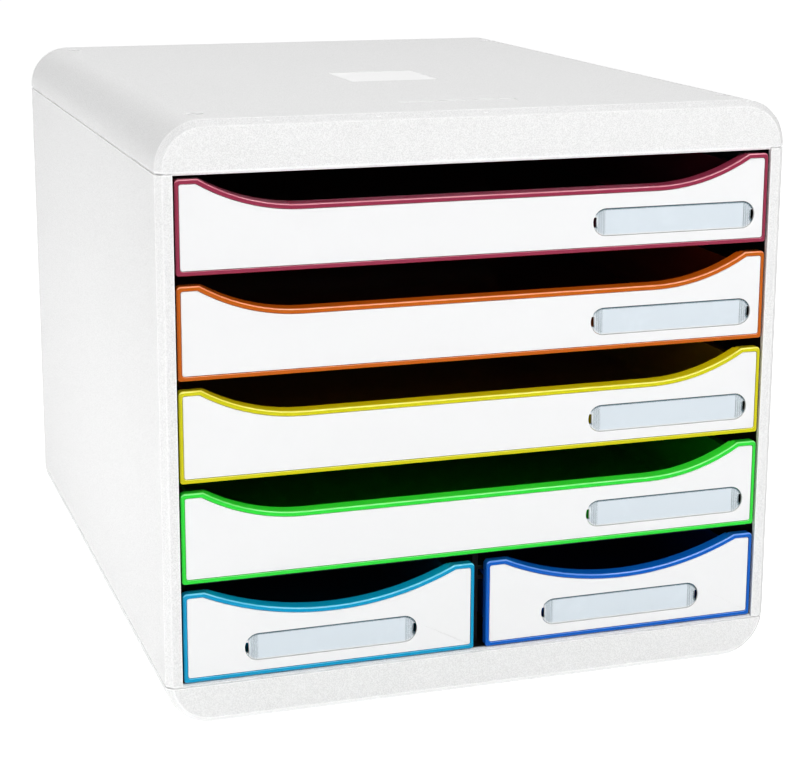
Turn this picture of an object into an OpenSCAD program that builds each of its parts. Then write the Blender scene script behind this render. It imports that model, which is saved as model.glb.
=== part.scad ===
// Desktop drawer tower: a moulded casing with full-width drawers over a pair of half-width ones.
// X points right seen from the front, Y to the back and Z up, in millimetres.
// The origin is at the middle of the footprint, on the surface that the feet stand on.

/* [Drawer fronts] */
// Width of a full drawer's front
front_w = 272; // [220:1:340]
// Height of a drawer front at its end tabs
front_h = 40.6; // [38:0.2:60]
// Number of full-width drawers above the pair of half-width ones
full_rows = 4; // [1:1:6]
// Gap between the fronts of two rows
row_gap = 4.2; // [3.4:0.1:8]
// Gap between a front's end and the casing's side band
side_gap = 0.8; // [0.5:0.1:1.2]
// Gap under the lowest fronts
bottom_gap = 0.4; // [0.3:0.1:1.5]
// Gap over the highest front
top_gap = 1.4; // [0.5:0.1:3]
// How far the fronts stand behind the casing's front face
front_recess = 0.5; // [0:0.1:2]
// Width of the flat tab at each end of a front's top edge
tab_w = 10.7; // [8:0.1:20]
// Depth of the scoop in a front's top edge
scoop_drop = 12; // [8:0.5:14]
// Length of the curve that leads from a tab down to a full drawer's straight dip
scoop_run = 43.8; // [30:0.2:60]
// Thickness of the coloured rim, front to back
rim_depth = 4.4; // [4.1:0.1:6]
// How much deeper the rim is along the scoop
scoop_lip = 1.2; // [0.8:0.1:2]
// How far the scoop's surface slopes down to the front
scoop_slope = 0.6; // [0.2:0.1:1.2]
// Rounding of the rim's front edge
rim_round = 0.9; // [0.4:0.1:1.1]
// Rounding of a front's upper corners
tab_round = 2; // [1.2:0.1:3]
// Rounding of a front's lower corners
foot_round = 1.2; // [1.1:0.1:2]
// Width of the coloured edge at a front's ends
edge_side = 1.8; // [1.2:0.1:3]
// Width of the coloured edge under the plate
edge_bottom = 2.1; // [1.2:0.1:3]
// Width of the coloured edge over the plate at the tabs
edge_top = 2.2; // [1.6:0.1:3.5]
// Width of the coloured edge along the scoop
edge_scoop = 2.8; // [2:0.1:4]
// Thickness of the wall behind the plate
web_t = 1.8; // [1.2:0.1:2.4]
// Thickness of the white front plate
plate_t = 1.4; // [1.1:0.1:1.6]
// How far the plate's face stands behind the rim's front
plate_set = 0.3; // [0.1:0.05:0.5]
// Rounding of the plate's corners
plate_round = 1; // [0.5:0.1:2]
// Gap between a moulded plate and the recess that it is pressed into
plate_gap = 0.15; // [0.05:0.01:0.3]

/* [Label holders] */
// Length of the label opening
label_w = 79; // [60:0.5:90]
// Height of the label opening
label_h = 12.4; // [10:0.2:16]
// Height of the label's middle above the front's lower edge
label_z = 13; // [11:0.2:18]
// Distance from a full drawer's right end to its label opening
label_edge = 6.1; // [4:0.1:20]
// Thickness of the clear window
window_t = 1; // [0.6:0.1:1.3]
// Length of the label card
card_w = 68; // [50:0.5:72]
// Height of the label card
card_h = 10.6; // [8:0.1:11.4]
// Thickness of the label card
card_t = 0.4; // [0.3:0.05:0.6]
// Number of grip ribs at each end of the window
grip_count = 4; // [2:1:4]
// Distance from one grip rib to the next
grip_pitch = 1.1; // [0.9:0.1:1.2]
// Width of the notch at each end of the window, where a nail pushes the card out
notch_w = 1.6; // [1.2:0.1:2.4]
// Height of that notch
notch_h = 4.4; // [3:0.1:6]
// How much further the slot behind each notch reaches on every side
slot_room = 1.4; // [0.6:0.1:2]

/* [Trays] */
// Thickness of a tray's walls and floor
tray_wall = 1.8; // [1.4:0.1:2.6]
// Height of a tray, from its underside to the top of its flanges
tray_h = 32.6; // [28:0.2:34]
// Height of a tray's underside above its front's lower edge
tray_lift = 1.4; // [0.8:0.1:2.4]
// Distance from a front's end in to the tray's side wall
tray_inset = 6.4; // [5.6:0.1:9]
// Outer rounding between a tray's floor and side walls
tray_round = 5.8; // [3:0.2:10]
// Thickness of the flanges that slide in the runners
flange_t = 2; // [1.5:0.1:3]
// Gap between a front's end and the edge of the flange behind it
flange_inset = 0.8; // [0.6:0.1:1.4]
// Length of the stop ear at the rear end of each flange
ear_len = 6; // [4:0.5:10]
// How far an ear stands out from its flange
ear_reach = 1.4; // [1.2:0.1:1.6]

/* [Casing] */
// Depth of the casing, front to back
depth = 347; // [300:1:420]
// Thickness of the casing's walls
wall = 2.6; // [2:0.1:3.2]
// Width of the casing's side band beside the fronts
side_band = 7.2; // [6.4:0.1:12]
// Rounding of the casing's four long edges
corner_r = 20.5; // [12:0.5:21]
// Size of the bevel round the casing's front edge
front_bevel = 2.8; // [1.5:0.1:3]
// Size of the bevel round the casing's rear edge
rear_bevel = 1.2; // [0.6:0.1:2]
// Height of the base, from its underside to the seam
base_h = 18.4; // [14:0.2:30]
// Height of the top cover, from the seam to its top
cover_h = 21.8; // [20:0.2:30]
// Height of the lips of base and cover that run between the side bands
lip = 1; // [0.6:0.1:1.6]
// Bevel on the front edge of each lip
lip_bevel = 1.5; // [0.8:0.1:2]
// Height of the groove along each seam
seam_h = 0.9; // [0.5:0.1:1.4]
// Depth of that groove
seam_depth = 0.6; // [0.3:0.1:1]
// Thickness of the back panel
back_t = 2.4; // [1.6:0.1:3.2]
// How far the back panel reaches behind the base's and cover's rear bands
back_lap = 5; // [3:0.5:8]
// Thickness of the stiffening ribs
rib_t = 1.6; // [1:0.1:2.4]
// Length of the tongues on the sides that locate the base and cover
tongue_len = 5; // [3:0.5:8]
// Thickness of those tongues
tongue_t = 1.3; // [1:0.1:1.8]
// Gap round the tongues and the back panel
seat_gap = 0.1; // [0.05:0.05:0.3]

/* [Feet] */
// Height of the rubber feet below the base
foot_h = 3; // [2:0.5:6]
// Diameter of the feet
foot_d = 7; // [6:0.5:9]
// Depth of the recess that each foot is pressed into
foot_seat = 1; // [0.6:0.1:1.6]
// Distance from the middle of a foot to the casing's side
foot_side = 21.5; // [18:0.5:40]
// Distance from the middle of a foot to the casing's front or back
foot_end = 21; // [16:0.5:60]
// Gap between a foot and the stacking dimple above which it stands
dimple_gap = 0.3; // [0.2:0.1:0.8]
// Depth of the stacking dimples in the cover
dimple_depth = 1; // [0.5:0.1:1.6]

/* [Cover recesses] */
// Width of the bare badge recess
badge_w = 44; // [20:1:80]
// Length of the badge recess, front to back
badge_len = 43; // [20:1:80]
// Distance from the casing's front to the badge recess
badge_front = 124; // [80:1:200]
// Length of the bare strip recess behind the cover's front edge
strip_w = 54; // [20:1:90]
// Width of the strip recess, front to back
strip_len = 6; // [4:0.5:12]
// Distance from the casing's front to the strip recess
strip_front = 32.5; // [10:0.5:60]
// Depth of both recesses
recess_depth = 0.3; // [0.2:0.1:0.8]

/* [Runners] */
// Distance from a front's end out to the face of the runner panel
runner_gap = 1.4; // [1.2:0.1:2]
// Thickness of the runner panels
runner_t = 1.8; // [1.4:0.1:2.2]
// Thickness of the divider between the half drawers
divider_t = 2.8; // [2:0.1:5]
// Distance from the casing's front to the divider and shelf
divider_setback = 7.6; // [7:0.1:15]
// Thickness of the rails that carry and guide the flanges
rail_t = 1.8; // [1.2:0.1:2.4]
// Gap between a rail's tip and the tray's side wall
rail_gap = 1.2; // [0.8:0.1:2]
// Gap between a flange and the rail that it slides on
slide_gap = 0.3; // [0.2:0.05:0.5]
// Gap between a flange and the rail above it
tilt_gap = 0.8; // [0.5:0.1:1.5]
// Thickness of the shelf over the half drawers
shelf_t = 1.6; // [1.2:0.1:2]
// How far the ledges under the shelf stand out
ledge_reach = 4; // [2:0.5:6]
// Thickness of the floor panel
floor_t = 1.6; // [1.2:0.1:3]
// Length of the front stop lugs along the runners
lug_len = 5; // [3:0.5:10]
// How far the front stop lugs stand out
lug_reach = 1.7; // [1.5:0.1:1.8]

/* [Travel] */
// How far a drawer pulls out before its ears meet the lugs
travel = 250; // [150:1:280]

/* [Hidden] */
$fn = 64;
arc_fn = 240;
overlap = 0.5;
skin = 0.01;
swing = 3;
mitre = 3;

// Heights of the rows and seams
pitch = front_h + row_gap;
seam_low = foot_h + base_h;
floor_z = seam_low + lip;
rows_z = floor_z + bottom_gap;
ceiling_z = rows_z + full_rows * pitch + front_h + top_gap;
seam_high = ceiling_z + lip;
body_top = seam_high + cover_h;

// Widths
body_w = front_w + 2 * (side_gap + side_band);
half_gap = divider_t + 2 * runner_gap;
half_w = (front_w - half_gap) / 2;
open_w = front_w + 2 * side_gap;
runner_x = front_w / 2 + runner_gap;
rail_reach = runner_gap + tray_inset - rail_gap;
flange_reach = tray_inset - flange_inset;
inner_x = body_w / 2 - wall;
tongue_x = inner_x - tongue_t;

// Places from front to back
casing_front = -depth / 2;
casing_back = depth / 2;
front_y = casing_front + front_recess;
plate_face = front_y + plate_set;
plate_y = plate_face + plate_t;
web_y = plate_y + web_t;
rim_y = front_y + rim_depth;
lip_y = rim_y + scoop_lip;
panel_front = casing_front + wall;
panel_back = casing_back - wall - back_t;
stop_y = panel_back - wall;
tray_back = stop_y - slide_gap;
ear_y = tray_back - ear_len;
lug_y = ear_y - travel - slide_gap - lug_len;
rail_y = rim_y + slide_gap;
divider_y = casing_front + divider_setback;

// Heights within one row, from the front's lower edge
tray_top = tray_lift + tray_h;
rail_z = tray_top - flange_t - slide_gap - rail_t;
guide_z = tray_top + tilt_gap;
shelf_z = rows_z + front_h + (row_gap - shelf_t) / 2;

dimple_r = foot_d / 2 + dimple_gap;
foot_x = body_w / 2 - foot_side;
foot_y = depth / 2 - foot_end;
rib_rows = 4;
rib_files = 5;
brace_count = 3;
grip_w = 0.4;
grip_proud = 0.25;
card_gap = 0.15;

drawer_count = full_rows + 2;
case_white = [0.95, 0.95, 0.94];
plate_white = [0.97, 0.97, 0.97];
inner_black = [0.06, 0.06, 0.07];
rubber_grey = [0.25, 0.25, 0.26];
card_white = [0.86, 0.89, 0.92];
clear_blue = [0.8, 0.86, 0.9, 0.5];
full_tints = [[0.68, 0.24, 0.37], [0.87, 0.39, 0.08], [0.9, 0.86, 0.08], [0.2, 0.8, 0.25]];
half_tints = [[0, 0.6, 0.76], [0, 0.37, 0.75]];

CASING_NODES = [
  "top_cover", "base_cover", "left_side", "right_side", "back_panel", "left_runner_panel",
  "right_runner_panel", "centre_divider", "divider_shelf", "floor_panel", "rubber_feet"
];
PIECES = ["tray", "front_plate", "label_window", "label_card"];

// Drawers are counted from the top down, and the last two are the left and right half drawers.
function is_full(i) = i <= full_rows;
function side_of(i) = is_full(i) ? 0 : (i == full_rows + 1 ? -1 : 1);
function drawer_w(i) = is_full(i) ? front_w : half_w;
function drawer_x(i) = side_of(i) * (half_gap + half_w) / 2;
function drawer_z(i) = rows_z + (is_full(i) ? (full_rows + 1 - i) * pitch : 0);
function tint(i) = is_full(i) ? full_tints[(i - 1) % len(full_tints)] : half_tints[i - full_rows - 1];
function curve_run(i) = is_full(i) ? scoop_run : half_w / 2 - tab_w;
function dip_half(i) = drawer_w(i) / 2 - tab_w - curve_run(i);
function curve_r(i) = (pow(curve_run(i), 2) + pow(scoop_drop, 2)) / (2 * scoop_drop);
function label_x(i) = is_full(i) ? front_w / 2 - label_edge - label_w / 2 : 0;
function dip_ends(i) = is_full(i) ? [-1, 1] : [0];

// A drawing in X and Z, made solid from y = a to y = b
module along_y(a, b) {
  translate([0, b, 0])
    rotate([90, 0, 0])
      linear_extrude(b - a)
        children();
}

// A drawing in Y and Z, made solid from x = a to x = b
module along_x(a, b) {
  translate([a, 0, 0])
    rotate([90, 0, 90])
      linear_extrude(b - a)
        children();
}

module box(low, high) {
  translate(low)
    cube(high - low);
}

module mirror_x() {
  children();
  mirror([1, 0, 0])
    children();
}

// A rectangle that stands on the X axis, with its own rounding above and below
module rounded_panel(w, h, low_r, high_r) {
  translate([-w / 2, low_r])
    square([w, h - low_r - high_r]);
  translate([-w / 2 + low_r, 0])
    square([w - 2 * low_r, low_r + skin]);
  translate([-w / 2 + high_r, h - high_r - skin])
    square([w - 2 * high_r, high_r + skin]);
  for (s = [-1, 1]) {
    translate([s * (w / 2 - low_r), low_r])
      circle(low_r);
    translate([s * (w / 2 - high_r), h - high_r])
      circle(high_r);
  }
}

module stadium(w, h) {
  square([w - h, h], center = true);
  for (s = [-1, 1])
    translate([s * (w - h) / 2, 0])
      circle(h / 2);
}

// ---- Casing ----

// The casing's full outer form, moved in by inset, with bevelled front and rear edges
module casing_form(inset = 0, front_cut = 0, rear_cut = 0) {
  w = body_w / 2 - inset;
  d = depth / 2 - inset;
  r = corner_r - inset;
  low = foot_h + inset;
  high = body_top - inset;
  along_x(-w + r, w - r)
    polygon([
      [-d, low + front_cut], [-d + front_cut, low], [d - rear_cut, low], [d, low + rear_cut],
      [d, high - rear_cut], [d - rear_cut, high], [-d + front_cut, high], [-d, high - front_cut]
    ]);
  translate([0, 0, low + r])
    linear_extrude(high - low - 2 * r)
      polygon([
        [-w, -d + front_cut], [-w + front_cut, -d], [w - front_cut, -d], [w, -d + front_cut],
        [w, d - rear_cut], [w - rear_cut, d], [-w + rear_cut, d], [-w, d - rear_cut]
      ]);
  for (s = [-1, 1])
    for (z = [low + r, high - r])
      translate([s * (w - r), -d, z])
        rotate([-90, 0, 0])
          corner_bar(r, 2 * d, front_cut, rear_cut);
}

// One long rounded edge, a bar with a cone at each bevelled end
module corner_bar(r, bar_len, front_cut, rear_cut) {
  translate([0, 0, front_cut])
    cylinder(r = r, h = bar_len - front_cut - rear_cut, $fn = arc_fn);
  if (front_cut > 0)
    cylinder(r1 = r - front_cut, r2 = r, h = front_cut, $fn = arc_fn);
  if (rear_cut > 0)
    translate([0, 0, bar_len - rear_cut])
      cylinder(r1 = r, r2 = r - rear_cut, h = rear_cut, $fn = arc_fn);
}

module casing_shell() {
  difference() {
    casing_form(0, front_bevel, rear_bevel);
    casing_form(wall);
  }
}

// The groove that runs round the casing at a seam
module seam_groove(z) {
  difference() {
    box([-body_w, -depth, z - seam_h / 2], [body_w, depth, z + seam_h / 2]);
    casing_form(seam_depth, front_bevel, rear_bevel);
  }
}

// Stiffening ribs across the hollow of the base or cover, between two heights and clear of the tongues
module rib_grid(low, high) {
  intersection() {
    casing_form(wall / 2);
    union() {
      for (k = [1:rib_files])
        translate([-body_w / 2 + k * body_w / (rib_files + 1) - rib_t / 2, casing_front, low])
          cube([rib_t, panel_back - casing_front, high - low]);
      for (k = [1:rib_rows])
        translate([seat_gap - tongue_x, panel_front + k * (panel_back - panel_front) / (rib_rows + 1), low])
          cube([2 * (tongue_x - seat_gap), rib_t, high - low]);
    }
  }
}

module feet_places() {
  for (x = [-foot_x, foot_x])
    for (y = [-foot_y, foot_y])
      translate([x, y, 0])
        children();
}

module top_cover() {
  color(case_white)
    difference() {
      union() {
        intersection() {
          casing_shell();
          box([-body_w, -depth, seam_high], [body_w, depth, body_top]);
        }
        rib_grid(seam_high + lip, body_top - wall / 2);
        along_x(-open_w / 2, open_w / 2)
          polygon([
            [casing_front, seam_high], [casing_front, seam_high + lip],
            [panel_front, seam_high + lip], [panel_front, ceiling_z], [casing_front + lip, ceiling_z]
          ]);
      }
      seam_groove(seam_high);
      lip_chamfer(ceiling_z, 1);
      feet_places()
        translate([0, 0, body_top - dimple_depth])
          cylinder(r = dimple_r, h = dimple_depth + overlap);
      translate([-badge_w / 2, casing_front + badge_front, body_top - recess_depth])
        cube([badge_w, badge_len, recess_depth + overlap]);
      translate([-strip_w / 2, casing_front + strip_front, body_top - recess_depth])
        cube([strip_w, strip_len, recess_depth + overlap]);
    }
}

// The bevel on the front edge of a lip, which faces down under the cover and up on the base
module lip_chamfer(z, up) {
  along_x(-open_w / 2, open_w / 2)
    polygon([
      [casing_front - overlap, z - up * overlap],
      [casing_front + lip_bevel + overlap, z - up * overlap],
      [casing_front - overlap, z + up * (lip_bevel + overlap)]
    ]);
}

module base_cover() {
  color(case_white)
    difference() {
      union() {
        intersection() {
          casing_shell();
          box([-body_w, -depth, foot_h], [body_w, depth, seam_low]);
        }
        rib_grid(foot_h + wall / 2, floor_z - floor_t);
        along_x(-open_w / 2, open_w / 2)
          polygon([
            [casing_front, seam_low], [casing_front, seam_low - lip],
            [panel_front, seam_low - lip], [panel_front, floor_z], [casing_front + lip, floor_z]
          ]);
      }
      seam_groove(seam_low);
      lip_chamfer(floor_z, -1);
      feet_places()
        translate([0, 0, foot_h - overlap])
          cylinder(d = foot_d, h = foot_seat + overlap);
    }
}

// The right side, a wall with returns at front and back, tongues at both seams and braces inside
module side_shell() {
  difference() {
    intersection() {
      casing_shell();
      box([0, -depth, seam_low], [body_w, depth, seam_high]);
    }
    box([-skin, -depth, foot_h], [open_w / 2, depth, body_top]);
    seam_groove(seam_low);
    seam_groove(seam_high);
  }
  for (seam = [seam_low, seam_high])
    side_tongue(seam);
  for (k = [1:brace_count])
    translate([runner_x + runner_t, casing_front + k * depth / (brace_count + 1), seam_low + tongue_len])
      cube([inner_x - runner_x - runner_t + overlap, rib_t, seam_high - seam_low - 2 * tongue_len]);
}

module side_tongue(seam) {
  y0 = panel_front + tongue_len;
  y1 = panel_back - tongue_len;
  intersection() {
    casing_form(wall + seat_gap);
    box([tongue_x, y0, seam - tongue_len], [body_w, y1, seam + tongue_len]);
  }
  intersection() {
    box([tongue_x, y0, seam - tongue_len], [inner_x + overlap, y1, seam + tongue_len]);
    box([0, y0, seam_low], [body_w, y1, seam_high]);
  }
}

module right_side() {
  color(case_white)
    side_shell();
}

module left_side() {
  color(case_white)
    mirror([1, 0, 0])
      side_shell();
}

module back_panel() {
  color(case_white)
    intersection() {
      casing_form(wall + seat_gap);
      box(
        [-body_w, panel_back, seam_low - back_lap],
        [body_w, casing_back - wall, seam_high + back_lap]
      );
    }
}

module rubber_feet() {
  color(rubber_grey)
    feet_places()
      cylinder(d = foot_d, h = foot_h + foot_seat);
}

// ---- Runners ----

// One row's rails on a face at x = 0 that looks towards -X: support, guide and both stops
module row_rails() {
  for (z = [rail_z, guide_z])
    box([-rail_reach, rail_y, z], [overlap, panel_back, z + rail_t]);
  box([-rail_reach, stop_y, rail_z], [overlap, panel_back, guide_z + rail_t]);
  box([-lug_reach, lug_y, rail_z + rail_t - skin], [overlap, lug_y + lug_len, guide_z + skin]);
}

module runner_shell() {
  box([runner_x, panel_front, floor_z], [runner_x + runner_t, panel_back, seam_high + lip]);
  for (row = [0:full_rows])
    translate([runner_x, 0, rows_z + row * pitch])
      row_rails();
  box(
    [runner_x - ledge_reach, divider_y, shelf_z - rail_t],
    [runner_x + overlap, panel_back, shelf_z]
  );
}

module right_runner_panel() {
  color(inner_black)
    runner_shell();
}

module left_runner_panel() {
  color(inner_black)
    mirror([1, 0, 0])
      runner_shell();
}

module centre_divider() {
  color(inner_black)
    intersection() {
      union() {
        box([-divider_t / 2, divider_y, floor_z], [divider_t / 2, panel_back, shelf_z]);
        mirror_x()
          translate([-divider_t / 2, 0, rows_z])
            row_rails();
      }
      box([-body_w, divider_y, foot_h], [body_w, depth, body_top]);
    }
}

module divider_shelf() {
  color(inner_black)
    box([-runner_x, divider_y, shelf_z], [runner_x, panel_back, shelf_z + shelf_t]);
}

module floor_panel() {
  half = runner_x + runner_t;
  color(inner_black)
    box([-half, panel_front, floor_z - floor_t], [half, panel_back, floor_z]);
}

// ---- Drawers ----

module at_drawer(i) {
  translate([drawer_x(i), 0, drawer_z(i)])
    children();
}

// Everything above the scoop's curve, with the curve let down by grow
module scoop_space(i, grow = 0) {
  for (s = dip_ends(i))
    translate([s * dip_half(i), front_h - scoop_drop + curve_r(i)])
      circle(curve_r(i) + grow, $fn = arc_fn);
  if (is_full(i))
    translate([-dip_half(i), front_h - scoop_drop - grow])
      square([2 * dip_half(i), scoop_drop + grow + overlap]);
}

// A drawer front's outline
module front_outline(i) {
  difference() {
    rounded_panel(drawer_w(i), front_h, foot_round, tab_round);
    scoop_space(i);
  }
}

// The plate's outline, which the recess in the rim follows with a gap
module plate_outline(i, gap = 0) {
  w = drawer_w(i) - 2 * (edge_side - gap);
  h = front_h - edge_bottom - edge_top + 2 * gap;
  difference() {
    translate([0, edge_bottom - gap])
      rounded_panel(w, h, plate_round + gap, plate_round + gap);
    scoop_space(i, edge_scoop - gap);
  }
}

// What rounds the rim's front edge off, drawn with X into the material and Y towards the back
module edge_waste() {
  difference() {
    translate([-overlap, -overlap])
      square(rim_round + overlap);
    translate([rim_round, rim_round])
      circle(rim_round);
  }
}

// What gives the scoop's surface its slope and front rounding, drawn in the same way
module scoop_waste() {
  deep = rim_depth + scoop_lip;
  slant = sqrt(pow(deep, 2) + pow(scoop_slope, 2));
  low = [scoop_slope + rim_round * (slant - scoop_slope) / deep, rim_round];
  difference() {
    polygon([
      [-overlap, -overlap], [low[0], -overlap], low, low - rim_round * [deep, scoop_slope] / slant,
      [-overlap * scoop_slope / deep, deep + overlap], [-overlap, deep + overlap]
    ]);
    translate(low)
      circle(rim_round);
  }
}

// Waste round an arc, from straight down towards +X. The arc is convex if side is -1, hollow if 1.
module arc_waste(r, from, sweep, side) {
  rotate([90, 0, 0])
    rotate([0, 0, from])
      rotate_extrude(angle = sweep, $fn = arc_fn)
        translate([r, -front_y])
          mirror([0, 1, 0])
            mirror([side < 0 ? 1 : 0, 0, 0])
              children();
}

// Waste along the top edge from x = a to x = b at height z
module top_waste(a, b, z) {
  along_x(a, b)
    translate([front_y, z])
      rotate([0, 0, -90])
        children();
}

module rim_waste(i) {
  half = drawer_w(i) / 2;
  tab = half - tab_w;
  sweep = asin(curve_run(i) / curve_r(i)) + swing;
  mirror_x() {
    top_waste(tab - mitre, half - tab_round, front_h)
      edge_waste();
    translate([half - tab_round, 0, front_h - tab_round])
      arc_waste(tab_round, 0, 90, -1)
        edge_waste();
    translate([half, front_y, foot_round])
      linear_extrude(front_h - tab_round - foot_round)
        mirror([1, 0])
          edge_waste();
    translate([half - foot_round, 0, foot_round])
      arc_waste(foot_round, -90, 90, -1)
        edge_waste();
    translate([dip_half(i), 0, front_h - scoop_drop + curve_r(i)])
      arc_waste(curve_r(i), -90, sweep, 1)
        scoop_waste();
  }
  along_x(foot_round - half, half - foot_round)
    translate([front_y, 0])
      mirror([1, -1])
        edge_waste();
  if (is_full(i))
    top_waste(-dip_half(i), dip_half(i), front_h - scoop_drop)
      scoop_waste();
}

// The coloured rim with the wall that carries the plate
module front_frame(i) {
  tab = drawer_w(i) / 2 - tab_w;
  difference() {
    union() {
      along_y(front_y, rim_y)
        front_outline(i);
      along_y(rim_y - skin, lip_y)
        intersection() {
          front_outline(i);
          scoop_space(i, edge_scoop);
          translate([overlap - tab, 0])
            square([2 * (tab - overlap), front_h]);
        }
    }
    along_y(front_y - overlap, plate_y)
      plate_outline(i, plate_gap);
    along_y(web_y, rim_y + overlap)
      plate_outline(i);
    rim_waste(i);
    translate([label_x(i), 0, label_z]) {
      box(
        [-card_w / 2 - card_gap, plate_y - overlap, -card_h / 2 - card_gap],
        [card_w / 2 + card_gap, plate_y + card_t, card_h / 2 + card_gap]
      );
      nail_notches(slot_room);
    }
  }
}

// The slots at both ends of a label opening
module nail_notches(room = 0) {
  end = label_w / 2 - plate_gap;
  mirror_x()
    box(
      [end - notch_w - room, front_y - overlap, -notch_h / 2 - room],
      [end + overlap + room, web_y + overlap, notch_h / 2 + room]
    );
}

module tray_section(w, h, r) {
  rounded_panel(w, h, r, skin);
}

// The open box behind the front, with flanges and stop ears
module tray_box(i) {
  w = drawer_w(i) - 2 * tray_inset;
  translate([0, 0, tray_lift]) {
    difference() {
      along_y(web_y - skin, tray_back)
        tray_section(w, tray_h, tray_round);
      along_y(web_y - overlap, tray_back - tray_wall)
        translate([0, tray_wall])
          tray_section(w - 2 * tray_wall, tray_h, tray_round - tray_wall);
    }
    mirror_x() {
      box(
        [w / 2 - tray_wall / 2, web_y - skin, tray_h - flange_t],
        [w / 2 + flange_reach, tray_back, tray_h]
      );
      box(
        [w / 2, ear_y, tray_h - flange_t],
        [w / 2 + flange_reach + ear_reach, tray_back, tray_h]
      );
    }
  }
}

module tray(i) {
  color(tint(i))
    at_drawer(i) {
      front_frame(i);
      tray_box(i);
    }
}

module front_plate(i) {
  color(plate_white)
    at_drawer(i)
      difference() {
        along_y(plate_face, plate_y)
          plate_outline(i);
        translate([label_x(i), 0, label_z])
          along_y(front_y - overlap, plate_y + overlap)
            stadium(label_w, label_h);
      }
}

// The clear window with grip ribs at both ends, which stands a little behind the plate's face
module label_window(i) {
  w = label_w - 2 * plate_gap;
  h = label_h - 2 * plate_gap;
  face_y = plate_y - window_t;
  color(clear_blue)
    at_drawer(i)
      translate([label_x(i), 0, label_z])
        difference() {
          union() {
            along_y(face_y, plate_y)
              stadium(w, h);
            intersection() {
              along_y(face_y - grip_proud, plate_y)
                stadium(w, h);
              mirror_x()
                for (k = [0:grip_count - 1])
                  translate([card_w / 2 + grip_w / 2 + k * grip_pitch, face_y - grip_proud, -h])
                    cube([grip_w, grip_proud + overlap, 2 * h]);
            }
          }
          nail_notches();
        }
}

module label_card(i) {
  color(card_white)
    at_drawer(i)
      translate([label_x(i), 0, label_z])
        box([-card_w / 2, plate_y, -card_h / 2], [card_w / 2, plate_y + card_t, card_h / 2]);
}

top_cover();
base_cover();
left_side();
right_side();
back_panel();
left_runner_panel();
right_runner_panel();
centre_divider();
divider_shelf();
floor_panel();
rubber_feet();
for (i = [1:drawer_count]) {
  tray(i);
  front_plate(i);
  label_window(i);
  label_card(i);
}
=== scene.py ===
"""Desktop drawer tower: finishes, rounded edges, label holders, floor, light and camera.

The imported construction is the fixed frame. Each operator finishes one group of its pieces.
"""

import math

import bmesh
import bpy
from bpy.props import FloatProperty, FloatVectorProperty, PointerProperty
from mathutils import Matrix, Vector


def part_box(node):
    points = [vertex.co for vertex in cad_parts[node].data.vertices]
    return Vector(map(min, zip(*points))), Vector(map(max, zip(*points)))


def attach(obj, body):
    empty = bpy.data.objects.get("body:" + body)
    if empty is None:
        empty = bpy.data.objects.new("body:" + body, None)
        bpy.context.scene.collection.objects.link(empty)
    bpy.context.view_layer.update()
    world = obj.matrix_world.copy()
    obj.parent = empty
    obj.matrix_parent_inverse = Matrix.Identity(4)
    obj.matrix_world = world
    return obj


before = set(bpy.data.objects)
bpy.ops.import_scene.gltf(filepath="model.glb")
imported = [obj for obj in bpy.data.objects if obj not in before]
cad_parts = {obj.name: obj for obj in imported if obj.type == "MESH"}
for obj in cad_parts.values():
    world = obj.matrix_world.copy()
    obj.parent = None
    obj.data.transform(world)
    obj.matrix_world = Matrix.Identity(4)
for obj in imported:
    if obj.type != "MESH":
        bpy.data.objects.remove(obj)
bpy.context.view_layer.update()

bl_info = {
    "name": "Desktop drawer tower",
    "version": (1, 0, 0),
    "blender": (4, 5, 0),
    "location": "3D View > Sidebar > Drawer tower",
    "description": "Finishes a moulded drawer tower: satin casing, glossy fronts and clear label holders",
    "category": "Add Mesh",
}

MM = 0.001
CASING_BODY = "casing"
COVER_NODES = ("top_cover", "base_cover")
SIDE_NODES = ("left_side", "right_side", "back_panel")
RUNNER_NODES = ("left_runner_panel", "right_runner_panel", "centre_divider", "divider_shelf", "floor_panel")
FEET_NODES = ("rubber_feet",)
DRAWER_TINTS = ("raspberry", "orange", "yellow", "green", "turquoise", "blue")
DRAWERS = tuple(range(1, len(DRAWER_TINTS) + 1))


# ---------------------------------------------------------------- settings

def colour(name, description, default):
    """A colour property, in linear red, green, blue and opacity."""
    return FloatVectorProperty(
        name=name, description=description, subtype="COLOR", size=4, min=0, max=1, default=(*default, 1.0)
    )


def length(name, description, default_mm):
    """A length property, given in millimetres and held in metres."""
    return FloatProperty(
        name=name, description=description, unit="LENGTH", min=0, precision=5, default=default_mm * MM
    )


def share(name, description, default):
    """A property from 0 to 1."""
    return FloatProperty(
        name=name, description=description, subtype="FACTOR", min=0, max=1, default=default
    )


def angle(name, description, default_degrees):
    """An angle property, given in degrees and held in radians."""
    return FloatProperty(
        name=name, description=description, unit="ROTATION", default=math.radians(default_degrees)
    )


def power(name, description, default):
    """A lamp's power, in watts."""
    return FloatProperty(name=name, description=description, unit="POWER", min=0, default=default)


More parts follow.
